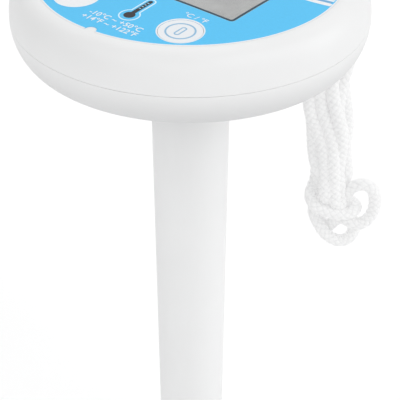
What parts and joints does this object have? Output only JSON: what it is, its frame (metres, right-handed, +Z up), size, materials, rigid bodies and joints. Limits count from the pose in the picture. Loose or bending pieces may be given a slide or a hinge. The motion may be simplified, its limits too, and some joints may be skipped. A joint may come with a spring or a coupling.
{
  "type": "floating pool thermometer",
  "caption": "Round white pool float with a blue face, grey display and round key, on a long tapered stem with a slotted end cap, and a bundled white tether cord under its rim.",
  "frame": {"origin": "centre of the stem's flat foot, which the thermometer stands on", "axes": "+Z up along the stem to the float; +Y is the way the face reads upwards, so the key is on the +X -Y side of the face"},
  "size_m": [0.11, 0.11, 0.215],
  "materials": {
    "white_plastic": "smooth white moulded ABS, satin gloss",
    "key_plastic": "smooth white moulded plastic",
    "printed_film": "sky-blue printed plastic film, slight sheen",
    "clear_plastic": "clear polished plastic window",
    "display_panel": "grey liquid-crystal panel",
    "rubber": "black silicone rubber",
    "bright_metal": "plain stainless and nickel-plated steel",
    "ballast_metal": "plain cast iron slug",
    "board": "green glass-epoxy board",
    "black_plastic": "black moulded plastic and epoxy",
    "lead_insulation": "red insulated wire",
    "braided_cord": "white braided synthetic cord"
  },
  "bodies": {
    "root": {"upper_shell": "white_plastic", "lower_shell": "white_plastic", "shell_gasket": "rubber", "case_screw_1": "bright_metal", "case_screw_2": "bright_metal", "case_screw_3": "bright_metal", "case_screw_4": "bright_metal", "face_label": "printed_film", "display_window": "clear_plastic", "display_frame": "key_plastic", "display_glass": "display_panel", "display_contact_strip": "rubber", "circuit_board": "board", "chip_cover": "black_plastic", "button_switch": "black_plastic", "button_seal": "rubber", "battery_cell": "bright_metal", "battery_clip": "bright_metal", "board_screw_1": "bright_metal", "board_screw_2": "bright_metal", "board_screw_3": "bright_metal", "stem_tube": "white_plastic", "stem_nut": "white_plastic", "stem_gasket": "rubber", "ballast_weight": "ballast_metal", "stem_end_cap": "white_plastic", "end_cap_seal": "rubber", "sensor_grommet": "rubber", "sensor_probe": "bright_metal", "sensor_lead_1": "lead_insulation", "sensor_lead_2": "lead_insulation", "cord_stop_knot": "braided_cord", "cord_lead": "braided_cord", "cord_hank": "braided_cord", "cord_knot": "braided_cord", "cord_side_loop": "braided_cord", "cord_bottom_loop": "braided_cord", "cord_tail": "braided_cord", "cord_end_knot": "braided_cord"},
    "button": {"button_cap": "key_plastic"}
  },
  "joints": [
    {"name": "button_press", "type": "slide", "parent": "root", "child": "button", "axis": [0, 0, -1], "range_m": [0, 0.0008], "stiffness_N_per_m": 400, "springref_m": -0.0002}
  ]
}
